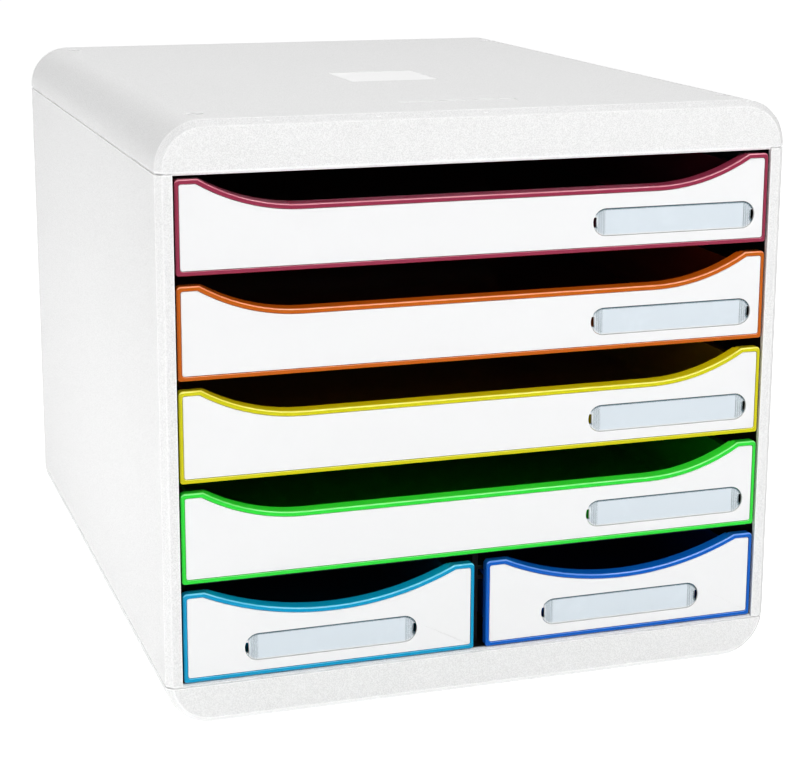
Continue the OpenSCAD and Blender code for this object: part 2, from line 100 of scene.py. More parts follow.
class CasingSettings(bpy.types.PropertyGroup):
    """The white shell, the black inner panels and the feet."""
    shell: colour("Shell", "Colour of the moulded covers, sides and back", (0.83, 0.83, 0.83))
    shell_roughness: share("Shell roughness", "Roughness of the satin shell", 0.46)
    cover_radius: length("Cover edge radius", "Largest rounding of the covers' outer edges", 0.45)
    side_radius: length("Side edge radius", "Rounding of the sides' and back's outer edges", 0.2)
    grain_size: length("Grain size", "Width of one bump of the spark grain", 0.42)
    grain_depth: length("Grain depth", "Depth of the spark grain", 0.16)
    badge: colour("Badge film", "Colour of the smooth bare film in the cover's recess", (0.95, 0.95, 0.95))
    badge_width: length("Badge width", "Width of the film", 43.3)
    badge_length: length("Badge length", "Length of the film, front to back", 42.3)
    badge_set_back: length("Badge set back", "From the cover's front edge to the middle of the film", 145.5)
    badge_round: length("Badge corner", "Corner radius of the film", 1.2)
    badge_thickness: length("Badge thickness", "Thickness of the film", 0.22)
    badge_recess: length("Badge recess", "Depth of the recess that the film lies in", 0.3)
    runner: colour("Runners", "Colour of the runner panels, divider, shelf and floor", (0.012, 0.012, 0.014))
    runner_radius: length("Runner edge radius", "Rounding of the inner panels' edges", 0.25)
    rubber: colour("Feet", "Colour of the rubber feet", (0.045, 0.045, 0.05))
    rubber_radius: length("Foot edge radius", "Rounding of the feet's edges", 0.4)


class DrawerSettings(bpy.types.PropertyGroup):
    """The six coloured trays and their white front plates."""
    raspberry: colour("Drawer 1", "Colour of the top tray", (0.315, 0.038, 0.083))
    orange: colour("Drawer 2", "Colour of the second tray", (0.53, 0.125, 0.003))
    yellow: colour("Drawer 3", "Colour of the third tray", (0.61, 0.57, 0.003))
    green: colour("Drawer 4", "Colour of the fourth tray", (0.036, 0.69, 0.055))
    turquoise: colour("Drawer 5", "Colour of the lower left tray", (0.001, 0.325, 0.56))
    blue: colour("Drawer 6", "Colour of the lower right tray", (0.001, 0.125, 0.52))
    tray_roughness: share("Tray roughness", "Roughness of the glossy trays", 0.14)
    bead_radius: length("Bead radius", "Rounding of the coloured rim's inner edge", 0.30)
    rim_round: length("Rim round", "Radius of the rounding that is moulded in front of the rim", 0.9)
    tray_radius: length("Tray edge radius", "Rounding of the trays' other edges", 0.25)
    plate: colour("Front plate", "Colour of the white front plates", (0.815, 0.818, 0.824))
    plate_roughness: share("Plate roughness", "Roughness of the glossy front plates", 0.16)
    plate_radius: length("Plate edge radius", "Rounding of the front plates' edges", 0.25)


class LabelSettings(bpy.types.PropertyGroup):
    """The clear label windows and the cards behind them."""
    window: colour("Window", "Tint of the clear window", (0.79, 0.862, 0.922))
    window_opacity: share("Window opacity", "How much of its own colour the clear window's face shows", 0.82)
    # The rim tint is painted shade: the dark tone of the cut edges, ribs and upper edge line.
    rim: colour("Window rim", "Tint seen in the window's cut edges and ribs", (0.10, 0.17, 0.20))
    rim_opacity: share("Rim opacity", "How dense the window's cut edges look", 0.75)
    window_line: length("Window edge line", "Width of the dark and the bright line along the edges", 1.35)
    # The glint is a painted highlight along the lower edge.
    window_painted_highlight: colour("Window glint", "Tint of the bright line along the lower edge", (0.95, 0.97, 0.98))
    window_radius: length("Window edge radius", "Rounding of the windows' edges", 0.30)
    card: colour("Card", "Colour of the label cards", (0.88, 0.93, 0.96))


class StageSettings(bpy.types.PropertyGroup):
    """Floor, light and camera."""
    camera_place: FloatVectorProperty(
        name="Camera place", description="Where the camera stands", subtype="TRANSLATION", unit="LENGTH",
        default=(-0.3046, -0.9724, 0.3683),
    )
    camera_heading: angle("Camera heading", "Turn of the view to the right of straight back", 18.400)
    camera_tilt: angle("Camera tilt", "Tilt of the view above the horizontal", -12.541)
    camera_roll: angle("Camera roll", "Roll of the camera about its view", 0.228)
    camera_lens: FloatProperty(
        name="Camera lens", description="Focal length for a 36 mm wide sensor", subtype="DISTANCE_CAMERA",
        default=90.42,
    )
    camera_rise: FloatProperty(
        name="Camera rise", description="Vertical shift of the lens, as a share of the frame's width",
        default=-0.10, min=-0.15, max=0.15,
    )
    floor: colour("Floor", "Colour of the pale floor", (0.93, 0.93, 0.93))
    floor_glow: share("Floor glow", "Light that the floor gives off itself, which softens the shadow", 0.57)
    floor_size: FloatProperty(
        name="Floor size", description="Side of the square floor", unit="LENGTH", default=60.0
    )
    sky: share("Sky", "Strength of the soft light from above", 0.34)
    horizon: share("Horizon", "Strength of the soft light near the horizon", 0.08)
    overhead: power("Overhead", "Power of the softbox above", 7.2)
    strip: power("Strip", "Power of the strip light above the front", 8.8)
    side: power("Side", "Power of the low softbox at the left", 0.66)
    shoulder: power("Shoulder", "Power of the high softbox at the left", 1.4)


# ---------------------------------------------------------------- node helpers

FLOAT = "NodeSocketFloat"
COLOUR = "NodeSocketColor"
GEOMETRY = "NodeSocketGeometry"
# Places of a colour mix's sockets
MIX_FACTOR, MIX_FIRST, MIX_SECOND, MIX_RESULT = 0, 6, 7, 2


def fill(tree, node, inputs):
    """Sets a node's inputs by name or place, and links those that are given a socket."""
    for name, value in inputs.items():
        if isinstance(value, bpy.types.NodeSocket):
            tree.links.new(value, node.inputs[name])
        else:
            node.inputs[name].default_value = value


def add(tree, kind, inputs=None, **values):
    """A new node with the given properties and inputs."""
    made = tree.nodes.new(kind)
    for name, value in values.items():
        setattr(made, name, value)
    fill(tree, made, inputs or {})
    return made


def use(tree, group, inputs):
    """The outputs of a shader node group that is placed in a material with its own values."""
    return add(tree, "ShaderNodeGroup", inputs, node_tree=bpy.data.node_groups[group]).outputs


def maths(tree, operation, first, second=0.0, clamp=False):
    """The result of a Math node on two values or sockets."""
    return add(tree, "ShaderNodeMath", {0: first, 1: second}, operation=operation, use_clamp=clamp).outputs[0]


def product(tree, *factors):
    """Two or more values multiplied."""
    made = factors[0]
    for factor in factors[1:]:
        made = maths(tree, "MULTIPLY", made, factor)
    return made


def vector_maths(tree, operation, *vectors, output="Vector"):
    """A Vector Math node's vector, or its value where output says so."""
    return add(tree, "ShaderNodeVectorMath", dict(enumerate(vectors)), operation=operation).outputs[output]


def parts(tree, vector):
    """A vector's X, Y and Z."""
    return add(tree, "ShaderNodeSeparateXYZ", {0: vector}).outputs


def blended(tree, factor, first, second, blend="MIX"):
    """Two colours mixed by a factor."""
    inputs = {MIX_FACTOR: factor, MIX_FIRST: first, MIX_SECOND: second}
    return add(tree, "ShaderNodeMix", inputs, data_type="RGBA", blend_type=blend).outputs[MIX_RESULT]


def laid(tree, below, over, mask, amount=None):
    """A colour with another laid over it where a mask is, in full or by an amount."""
    factor = mask if amount is None else product(tree, mask, amount)
    return blended(tree, factor, below, over)


def stepped(tree, value, span):
    """A smooth ramp from 0 where value is at the span's start to 1 where it is at its end."""
    inputs = {"Value": value, "From Min": span[0], "From Max": span[1]}
    return add(tree, "ShaderNodeMapRange", inputs, interpolation_type="SMOOTHSTEP").outputs["Result"]


def on_piece(tree):
    """Each point's place in its piece's own coordinates."""
    return add(tree, "ShaderNodeTexCoord").outputs["Object"]


def noise(tree, place, scale, detail, roughness=0.5, distortion=0.0):
    """Noise from 0 to 1."""
    inputs = {
        "Vector": place, "Scale": scale, "Detail": detail, "Roughness": roughness, "Distortion": distortion
    }
    return add(tree, "ShaderNodeTexNoise", inputs).outputs["Fac"]


def new_group(name, kind, inputs, outputs):
    """A node group with named inputs (title, socket type, default) and outputs (title, socket type)."""
    tree = bpy.data.node_groups.new(name, kind)
    for title, socket_type, default in inputs:
        socket = tree.interface.new_socket(name=title, in_out="INPUT", socket_type=socket_type)
        if default is not None:
            socket.default_value = default
    for title, socket_type in outputs:
        tree.interface.new_socket(name=title, in_out="OUTPUT", socket_type=socket_type)
    return tree, tree.nodes.new("NodeGroupInput").outputs, tree.nodes.new("NodeGroupOutput").inputs


# ---------------------------------------------------------------- shared effects

# Shares of the noise behind each mask, from where the mask begins to where it is full
SPECKLES = (0.35, 0.75)
BREAK_UP_PATCHES = (0.35, 0.62)
SMEARS = (0.50, 0.78)
SCUFFS = (0.66, 0.74)
DUST_SPECKS = (0.42, 0.72)
# How far an edge's rounded normal turns from its face's, as 1 less their cosine
EDGE_TURN = (0.003, 0.03)
# How far up a face looks, as the Z of its normal
LOOKING_UP = (0.55, 0.98)
# Patches per metre that break up the edge mask, for rubbing and painted highlight alike
BREAK_UP_PATCH_SCALE = 90.0
# Size of the grain's clumps against its pebbles
CLUMP_SCALE = 0.8
# Turn and stretch that make short scuffs out of noise
SCUFF_TURN = (0.3, 0.5, 0.7)
SCUFF_STRETCH = (1, 6, 1)


def make_moulded_tint():
    """Slow drift of colour over a moulding, lighter and darker in patches."""
    tree, given, result = new_group(
        "moulded_tint", "ShaderNodeTree",
        [("Color", COLOUR, (0.8, 0.8, 0.8, 1)), ("Variation", FLOAT, 0.03), ("Patch Size", FLOAT, 80 * MM)],
        [("Color", COLOUR)],
    )
    scale = maths(tree, "DIVIDE", 1.0, given["Patch Size"])
    drift = noise(tree, on_piece(tree), scale, detail=2.0, roughness=0.4)
    # From 0 to 1 turned into from -1 to 1
    swing = product(tree, maths(tree, "SUBTRACT", drift, 0.5), 2.0)
    gain = maths(tree, "ADD", 1.0, product(tree, swing, given["Variation"]))
    shade = add(tree, "ShaderNodeCombineColor", {0: gain, 1: gain, 2: gain}).outputs[0]
    tree.links.new(blended(tree, 1.0, given["Color"], shade, "MULTIPLY"), result["Color"])


def make_spark_grain():
    """The fine pebbled grain that a spark-eroded mould leaves."""
    tree, given, result = new_group(
        "spark_grain", "ShaderNodeTree",
        [("Grain Size", FLOAT, 0.7 * MM), ("Softness", FLOAT, 0.5)],
        [("Height", FLOAT), ("Speckle", FLOAT)],
    )
    place = on_piece(tree)
    scale = maths(tree, "DIVIDE", 1.0, given["Grain Size"])
    pebbles = add(
        tree, "ShaderNodeTexVoronoi", {"Vector": place, "Scale": scale, "Randomness": 1.0}, feature="F1"
    )
    clumps = noise(tree, place, product(tree, scale, CLUMP_SCALE), detail=2.0, roughness=0.6)
    domes = maths(tree, "SUBTRACT", 1.0, pebbles.outputs["Distance"], clamp=True)
    soft = product(tree, clumps, given["Softness"])
    sharp = product(tree, domes, maths(tree, "SUBTRACT", 1.0, given["Softness"]))
    height = maths(tree, "ADD", soft, sharp)
    tree.links.new(height, result["Height"])
    tree.links.new(stepped(tree, height, SPECKLES), result["Speckle"])


def make_edge_wear_and_highlight():
    """A mask along outer edges, broken up by noise, where handling polishes and lightens them and where the
    shell, plate and tray finishes paint a highlight.
    """
    tree, given, result = new_group(
        "edge_wear", "ShaderNodeTree",
        [("Width", FLOAT, 0.6 * MM), ("Break Up", FLOAT, 0.4)],
        [("Mask", FLOAT)],
    )
    rounded = add(tree, "ShaderNodeBevel", {"Radius": given["Width"]}, samples=6).outputs[0]
    flat = add(tree, "ShaderNodeNewGeometry").outputs["True Normal"]
    likeness = vector_maths(tree, "DOT_PRODUCT", rounded, flat, output="Value")
    edge = stepped(tree, maths(tree, "SUBTRACT", 1.0, likeness), EDGE_TURN)
    patches = noise(tree, on_piece(tree), BREAK_UP_PATCH_SCALE, detail=3.0)
    rubbed = stepped(tree, patches, BREAK_UP_PATCHES)
    kept = maths(tree, "SUBTRACT", 1.0, product(tree, given["Break Up"], rubbed))
    tree.links.new(product(tree, edge, kept), result["Mask"])


def make_handling_marks():
    """Faint wiped smears and short fine scuffs, as masks."""
    tree, given, result = new_group(
        "handling_marks", "ShaderNodeTree",
        [("Smear Size", FLOAT, 50 * MM), ("Scuff Size", FLOAT, 4 * MM)],
        [("Smears", FLOAT), ("Scuffs", FLOAT)],
    )
    place = on_piece(tree)
    smear_scale = maths(tree, "DIVIDE", 1.0, given["Smear Size"])
    smears = noise(tree, place, smear_scale, detail=4.0, roughness=0.55, distortion=0.6)
    tree.links.new(stepped(tree, smears, SMEARS), result["Smears"])
    stretched = add(
        tree, "ShaderNodeMapping", {"Vector": place, "Rotation": SCUFF_TURN, "Scale": SCUFF_STRETCH}
    ).outputs[0]
    scuff_scale = maths(tree, "DIVIDE", 1.0, given["Scuff Size"])
    scuffs = stepped(tree, noise(tree, stretched, scuff_scale, detail=2.0, roughness=0.7), SCUFFS)
    tree.links.new(product(tree, scuffs, smears), result["Scuffs"])


def make_settled_dust():
    """A mask for the little dust that lies on faces that look up."""
    tree, given, result = new_group(
        "settled_dust", "ShaderNodeTree",
        [("Amount", FLOAT, 0.2), ("Speck Size", FLOAT, 1.5 * MM)],
        [("Mask", FLOAT)],
    )
    upward = parts(tree, add(tree, "ShaderNodeNewGeometry").outputs["Normal"])["Z"]
    scale = maths(tree, "DIVIDE", 1.0, given["Speck Size"])
    specks = noise(tree, on_piece(tree), scale, detail=3.0, roughness=0.7)
    lying = product(tree, stepped(tree, upward, LOOKING_UP), stepped(tree, specks, DUST_SPECKS))
    tree.links.new(product(tree, given["Amount"], lying), result["Mask"])


# ---------------------------------------------------------------- rounding of the moulded pieces

WELD_DISTANCE = 0.001 * MM
FLAT_ANGLE = math.radians(0.05)
CREASE_ANGLE = math.radians(28)
# Depth of the plane that a piece's front edges lie in, and a front that is ahead of every piece
FRONT_PLANE = 0.002 * MM
NO_FRONT = -10.0
# Length that no face reaches, which takes an edge out of a comparison
UNLIMITED = 10.0
# How much of the room beside an edge its rounding may take, so that two of them never meet
ROOM_SHARE = 0.48
# A share that leaves the rounding as wide as it is asked for
FREE_SHARE = 10.0
# Edges up to these lengths limit the rounding beside them also where they are rounded themselves
SHORT_EDGE = 0.12 * MM
COVER_SHORT_EDGE = 0.6 * MM
SIDE_SHORT_EDGE = 0.22 * MM

# A rim's strip of faces lies behind its moulded rounding and follows the scoop. Its faces look forward
# by less than this, as the Y of their normal.
STRIP_FORWARD = 0.2
# It starts and ends at these numbers of radii behind the front.
STRIP_START = 1.7
STRIP_END = 8.0
# A point of the rounding is this many radii behind the front at most, and a radius further back it is
# this many radii from the strip at most.
ROUNDING_DEPTH = 1.02
ROUNDING_REACH = 1.12
# Least cosine between a face's own normal and the even one that it takes
LEAST_LIKENESS = 0.5


def make_edge_marking():
    """Geometry nodes that weigh the outer edges for rounding, as far as the faces beside them allow."""
    tree, given, result = new_group(
        "edge_marking", "GeometryNodeTree",
        [("Geometry", GEOMETRY, None), ("Crease Angle", FLOAT, CREASE_ANGLE), ("Width", FLOAT, MM),
         ("Short Edge", FLOAT, SHORT_EDGE), ("Room Share", FLOAT, ROOM_SHARE), ("Front", FLOAT, NO_FRONT),
         ("Moulded Depth", FLOAT, 0.0), ("Front Weight", FLOAT, 1.0), ("Body Weight", FLOAT, 1.0)],
        [("Geometry", GEOMETRY)],
    )
    bend = add(tree, "GeometryNodeInputMeshEdgeAngle").outputs["Signed Angle"]
    outer = maths(tree, "GREATER_THAN", bend, given["Crease Angle"])
    creased = maths(tree, "GREATER_THAN", maths(tree, "ABSOLUTE", bend), given["Crease Angle"])
    place = parts(tree, add(tree, "GeometryNodeInputPosition").outputs[0])
    set_back = maths(tree, "SUBTRACT", place["Y"], given["Front"])
    in_front = maths(tree, "LESS_THAN", set_back, FRONT_PLANE)
    behind = maths(tree, "GREATER_THAN", set_back, given["Moulded Depth"])
    unmoulded = maths(tree, "MAXIMUM", in_front, behind)
    marked = product(tree, outer, unmoulded)

    # The room beside an edge is the shortest unrounded or short edge at its two ends.
    ends = add(tree, "GeometryNodeInputMeshEdgeVertices").outputs
    span = vector_maths(tree, "DISTANCE", ends["Position 1"], ends["Position 2"], output="Value")
    chained = product(tree, marked, maths(tree, "GREATER_THAN", span, given["Short Edge"]))
    reach = maths(tree, "ADD", span, product(tree, chained, UNLIMITED))
    nearest = add(tree, "GeometryNodeEdgesOfVertex", {"Weights": reach}).outputs["Edge Index"]
    beside = add(
        tree, "GeometryNodeFieldAtIndex", {"Value": reach, "Index": nearest}, domain="EDGE"
    ).outputs[0]
    first, second = (
        add(tree, "GeometryNodeFieldAtIndex", {"Value": beside, "Index": end}, domain="POINT").outputs[0]
        for end in (ends["Vertex Index 1"], ends["Vertex Index 2"])
    )
    room = product(tree, maths(tree, "MINIMUM", first, second), given["Room Share"])
    limit = maths(tree, "DIVIDE", room, given["Width"])

    difference = maths(tree, "SUBTRACT", given["Front Weight"], given["Body Weight"])
    wanted = maths(tree, "ADD", given["Body Weight"], product(tree, in_front, difference))
    weight = product(tree, marked, maths(tree, "MINIMUM", wanted, limit))
    kept_sharp = product(tree, maths(tree, "SUBTRACT", creased, marked), unmoulded)
    shape = given["Geometry"]
    for name, value, kind in (("bevel_weight_edge", weight, "FLOAT"), ("sharp_edge", kept_sharp, "BOOLEAN")):
        shape = add(
            tree, "GeometryNodeStoreNamedAttribute", {"Geometry": shape, "Name": name, "Value": value},
            data_type=kind, domain="EDGE",
        ).outputs["Geometry"]
    smooth = add(tree, "GeometryNodeSetShadeSmooth", {"Geometry": shape, "Shade Smooth": True})
    tree.links.new(smooth.outputs["Geometry"], result["Geometry"])


def make_rim_shading():
    """Geometry nodes that shade the moulded rounding in front of a rim as one even quarter round."""
    tree, given, result = new_group(
        "rim_shading", "GeometryNodeTree",
        [("Geometry", GEOMETRY, None), ("Front", FLOAT, 0.0), ("Radius", FLOAT, MM)],
        [("Geometry", GEOMETRY)],
    )
    spot = add(tree, "GeometryNodeInputPosition").outputs[0]
    along = parts(tree, spot)["Y"]
    normal = add(tree, "GeometryNodeInputNormal").outputs

    def radii(number):
        """A number of radii of the rounding."""
        return product(tree, given["Radius"], number)

    # The strip of faces behind the rounding
    face_place = add(tree, "GeometryNodeFieldOnDomain", {0: along}, domain="FACE").outputs[0]
    set_back = maths(tree, "SUBTRACT", face_place, given["Front"])
    forward = maths(tree, "ABSOLUTE", parts(tree, normal["True Normal"])["Y"])
    chosen = product(
        tree,
        maths(tree, "LESS_THAN", forward, STRIP_FORWARD),
        maths(tree, "GREATER_THAN", set_back, radii(STRIP_START)),
        maths(tree, "LESS_THAN", set_back, radii(STRIP_END)),
    )
    strip = add(
        tree, "GeometryNodeSeparateGeometry", {"Geometry": given["Geometry"], "Selection": chosen},
        domain="FACE",
    ).outputs["Selection"]

    # Its smooth normals beside each point of the rounding, turned forward by the point's depth
    inward = add(tree, "ShaderNodeCombineXYZ", {"Y": given["Radius"]}).outputs[0]
    beside = vector_maths(tree, "ADD", spot, inward)
    even = add(
        tree, "GeometryNodeFieldOnDomain", {0: normal["Normal"]}, data_type="FLOAT_VECTOR", domain="POINT"
    ).outputs[0]
    sampled = add(
        tree, "GeometryNodeSampleNearestSurface", {"Mesh": strip, "Value": even, "Sample Position": beside},
        data_type="FLOAT_VECTOR",
    ).outputs[0]
    outward = vector_maths(tree, "NORMALIZE", vector_maths(tree, "MULTIPLY", sampled, (1.0, 0.0, 1.0)))
    depth = maths(tree, "SUBTRACT", along, given["Front"])
    cosine = maths(tree, "SUBTRACT", 1.0, maths(tree, "DIVIDE", depth, given["Radius"]), clamp=True)
    sine = maths(tree, "SQRT", maths(tree, "SUBTRACT", 1.0, product(tree, cosine, cosine)))
    climb = add(
        tree, "ShaderNodeVectorMath", {0: outward, "Scale": sine}, operation="SCALE"
    ).outputs["Vector"]
    round_normal = vector_maths(
        tree, "SUBTRACT", climb, add(tree, "ShaderNodeCombineXYZ", {"Y": cosine}).outputs[0]
    )

    # Only points of the rounding take them.
    gap = add(
        tree, "GeometryNodeProximity", {"Geometry": strip, "Sample Position": beside}, target_element="FACES"
    ).outputs["Distance"]
    likeness = vector_maths(tree, "DOT_PRODUCT", normal["True Normal"], round_normal, output="Value")
    rounded = product(
        tree,
        maths(tree, "GREATER_THAN", likeness, LEAST_LIKENESS),
        maths(tree, "LESS_THAN", gap, radii(ROUNDING_REACH)),
        maths(tree, "LESS_THAN", depth, radii(ROUNDING_DEPTH)),
    )
    final = add(
        tree, "GeometryNodeSwitch", {"Switch": rounded, "False": normal["Normal"], "True": round_normal},
        input_type="VECTOR",
    ).outputs[0]
    shaded = add(
        tree, "GeometryNodeSetMeshNormal", {"Mesh": given["Geometry"], "Custom Normal": final},
        mode="FREE", domain="CORNER",
    ).outputs["Mesh"]
    tree.links.new(shaded, result["Geometry"])


SHARED_GROUPS = {
    "moulded_tint": make_moulded_tint,
    "spark_grain": make_spark_grain,
    "edge_wear": make_edge_wear_and_highlight,
    "handling_marks": make_handling_marks,
    "settled_dust": make_settled_dust,
    "edge_marking": make_edge_marking,
    "rim_shading": make_rim_shading,
}


def make_shared_groups():
    """Each shared effect, built once."""
    for name, make in SHARED_GROUPS.items():
        if name not in bpy.data.node_groups:
            make()


def add_nodes(piece, group, inputs):
    """A geometry nodes modifier on a piece, with its inputs set by title."""
    modifier = piece.modifiers.new(group, "NODES")
    modifier.node_group = bpy.data.node_groups[group]
    for item in modifier.node_group.interface.items_tree:
        if item.in_out == "INPUT" and item.name in inputs:
            modifier[item.identifier] = inputs[item.name]


def round_edges(piece, radius, front_radius=None, front=NO_FRONT, moulded_depth=0.0, short_edge=SHORT_EDGE,
                room_share=ROOM_SHARE, segments=3, clamped=True):
    """Rounds a piece's outer edges by a radius, and those in its front plane by front_radius."""
    largest = max(radius, front_radius or 0.0)
    weld = piece.modifiers.new("weld", "WELD")
    weld.merge_threshold = WELD_DISTANCE
    planes = piece.modifiers.new("planes", "DECIMATE")
    planes.decimate_type = "DISSOLVE"
    planes.angle_limit = FLAT_ANGLE
    add_nodes(piece, "edge_marking", {
        "Crease Angle": CREASE_ANGLE, "Width": largest, "Short Edge": short_edge, "Room Share": room_share,
        "Front": front, "Moulded Depth": moulded_depth,
        "Front Weight": (front_radius or radius) / largest, "Body Weight": radius / largest,
    })
    rounding = piece.modifiers.new("rounding", "BEVEL")
    rounding.limit_method = "WEIGHT"
    rounding.width = largest
    rounding.segments = segments
    rounding.use_clamp_overlap = clamped
    rounding.miter_outer = "MITER_ARC"
    shading = piece.modifiers.new("shading", "WEIGHTED_NORMAL")
    shading.keep_sharp = True


# ---------------------------------------------------------------- finishes

# Colours that a finish takes on in its grain, where it is smeared or dusty, and along its edges; on the shell
# and plates that edge colour is a painted highlight with polish, on the runners and feet it comes from
# rubbing
SHELL_SPECK = (0.52, 0.52, 0.52, 1)
SHELL_SMEAR = (0.60, 0.60, 0.58, 1)
SHELL_DUST = (0.74, 0.73, 0.70, 1)
SHELL_EDGE_HIGHLIGHT = (0.98, 0.98, 0.98, 1)
RUNNER_DUST = (0.16, 0.155, 0.15, 1)
RUNNER_EDGE = (0.06, 0.06, 0.06, 1)
RUBBER_EDGE = (0.13, 0.13, 0.125, 1)
TRAY_DUST = (0.5, 0.49, 0.47, 1)
PLATE_EDGE_HIGHLIGHT = (0.97, 0.97, 0.97, 1)
CARD_FLECK = (0.55, 0.60, 0.64, 1)
FLOOR_MIRRORED = (0.25, 0.25, 0.25, 1)
# Roughness of the finishes that have no setting for it
FILM_ROUGHNESS = 0.40
RUNNER_ROUGHNESS = 0.62
RUBBER_ROUGHNESS = 0.85
WINDOW_ROUGHNESS = 0.06
CARD_ROUGHNESS = 0.72
FLOOR_ROUGHNESS = 0.9

# Roughness that scuffs add to the shell, and opacity that smears add to a window
SCUFF_ROUGHNESS = 0.10
SMEAR_HAZE = 0.04

# A tray's painted highlight along its upper front edge is paler than its tint by a gain and a lift, and the
# painted light on its sloped lip makes it lighter by a gain.
HIGHLIGHT_GAIN, HIGHLIGHT_LIFT = 1.6, 0.19
LIP_LIGHT_GAIN = 1.4
# How far a tray's other outer edges take the highlight colour, from rubbing, against the painted highlight
OTHER_EDGES = 0.10
# Directions in which the lip with painted light and the edge with the painted highlight look, as the Y and Z
# of their normals
LIP_FORWARD, LIP_UPWARD = (-0.03, -0.08), (0.5, 0.9)
HIGHLIGHT_FORWARD, HIGHLIGHT_UPWARD = (-0.20, -0.45), (0.18, 0.45)

# Directions across the window's painted dark upper line and painted bright lower line, and how far a rounded
# normal leans there
UPPER_WAY, LOWER_WAY = (0.5, 0.0, 0.87), (-0.5, 0.0, -0.87)
PAINTED_SHADE_SPAN, PAINTED_HIGHLIGHT_SPAN = (0.03, 0.16), (0.05, 0.25)
# How far a window's face looks forward, from a cut edge to the face
CUT_EDGE = (0.25, 0.60)

# Paper fibres: how many per metre, how flat they lie, and the noise that shows as a fleck
FIBRE_SCALE = 900.0
FIBRE_STRETCH = (1.0, 1.0, 3.0)
FLECKS = (0.45, 0.75)


def new_material(name):
    """A material with only a Principled shader and its output."""
    material = bpy.data.materials.new(name)
    material.use_nodes = True
    tree = material.node_tree
    tree.nodes.clear()
    shader = tree.nodes.new("ShaderNodeBsdfPrincipled")
    add(tree, "ShaderNodeOutputMaterial", {"Surface": shader.outputs[0]})
    return material, tree, shader


def moulded(tree, tint, variation, patch_size):
    """A moulding's slowly drifting colour."""
    inputs = {"Color": tuple(tint), "Variation": variation, "Patch Size": patch_size}
    return use(tree, "moulded_tint", inputs)["Color"]


def roughen(tree, shader, base, mask, change):
    """Sets a shader's roughness, changed where a mask is."""
    rough = maths(tree, "ADD", base, product(tree, mask, change))
    tree.links.new(rough, shader.inputs["Roughness"])


def emboss(tree, shader, height, strength, depth):
    """Gives a shader's surface a fine relief."""
    bump = add(tree, "ShaderNodeBump", {"Strength": strength, "Distance": depth, "Height": height})
    tree.links.new(bump.outputs[0], shader.inputs["Normal"])


def satin_shell(settings):
    """White satin plastic with a spark grain, polished edges lightened near white as a painted highlight, and
    the faintest smears.
    """
    material, tree, shader = new_material("satin_shell")
    grain = use(tree, "spark_grain", {"Grain Size": settings.grain_size, "Softness": 0.4})
    marks = use(tree, "handling_marks", {"Smear Size": 70 * MM, "Scuff Size": 6 * MM})
    edge_mask = use(tree, "edge_wear", {"Width": 0.9 * MM, "Break Up": 0.3})
    dust = use(tree, "settled_dust", {"Amount": 0.10, "Speck Size": 1.2 * MM})
    tint = moulded(tree, settings.shell, variation=0.010, patch_size=120 * MM)
    speckled = laid(tree, tint, SHELL_SPECK, grain["Speckle"], amount=0.50)
    smeared = laid(tree, speckled, SHELL_SMEAR, marks["Smears"], amount=0.035)
    dusted = laid(tree, smeared, SHELL_DUST, dust["Mask"])
    # Along the edges the colour turns near white: a painted highlight, with some polish.
    tree.links.new(laid(tree, dusted, SHELL_EDGE_HIGHLIGHT, edge_mask["Mask"]), shader.inputs["Base Color"])
    scuffed = maths(tree, "ADD", settings.shell_roughness, product(tree, marks["Scuffs"], SCUFF_ROUGHNESS))
    roughen(tree, shader, scuffed, edge_mask["Mask"], change=-0.16)
    emboss(tree, shader, grain["Height"], strength=1.0, depth=settings.grain_depth)
    shader.inputs["IOR"].default_value = 1.47
    return material


def smooth_film(settings):
    """The bare smooth film that lies in the cover's recess."""
    material, tree, shader = new_material("smooth_film")
    marks = use(tree, "handling_marks", {"Smear Size": 20 * MM, "Scuff Size": 3 * MM})
    tint = moulded(tree, settings.badge, variation=0.006, patch_size=30 * MM)
    tree.links.new(tint, shader.inputs["Base Color"])
    roughen(tree, shader, FILM_ROUGHNESS, marks["Smears"], change=0.12)
    emboss(tree, shader, marks["Scuffs"], strength=0.3, depth=0.01 * MM)
    return material


def matt_runner(settings):
    """Black matt plastic of the inner panels, with rubbed edges along the rails."""
    material, tree, shader = new_material("matt_runner")
    grain = use(tree, "spark_grain", {"Grain Size": 0.6 * MM, "Softness": 0.4})
    edge_mask = use(tree, "edge_wear", {"Width": 0.9 * MM, "Break Up": 0.6})
    dust = use(tree, "settled_dust", {"Amount": 0.05, "Speck Size": 1.5 * MM})
    tint = moulded(tree, settings.runner, variation=0.08, patch_size=50 * MM)
    dusted = laid(tree, tint, RUNNER_DUST, dust["Mask"])
    tree.links.new(laid(tree, dusted, RUNNER_EDGE, edge_mask["Mask"], amount=0.25), shader.inputs["Base Color"])
    roughen(tree, shader, RUNNER_ROUGHNESS, edge_mask["Mask"], change=-0.2)
    emboss(tree, shader, grain["Height"], strength=0.8, depth=0.015 * MM)
    return material


def foot_rubber(settings):
    """Dark rubber with a dry, dusty face."""
    material, tree, shader = new_material("foot_rubber")
    grain = use(tree, "spark_grain", {"Grain Size": 0.35 * MM, "Softness": 0.7})
    edge_mask = use(tree, "edge_wear", {"Width": 0.8 * MM, "Break Up": 0.7})
    tint = moulded(tree, settings.rubber, variation=0.12, patch_size=6 * MM)
    tree.links.new(laid(tree, tint, RUBBER_EDGE, edge_mask["Mask"], amount=0.4), shader.inputs["Base Color"])
    roughen(tree, shader, RUBBER_ROUGHNESS, grain["Speckle"], change=-0.12)
    emboss(tree, shader, grain["Height"], strength=1.0, depth=0.02 * MM)
    return material


def lightened(tint, gain, lift=0.0):
    """A colour with a gain and a lift."""
    return tuple(min(1.0, gain * part + lift) for part in tint[:3]) + (1.0,)


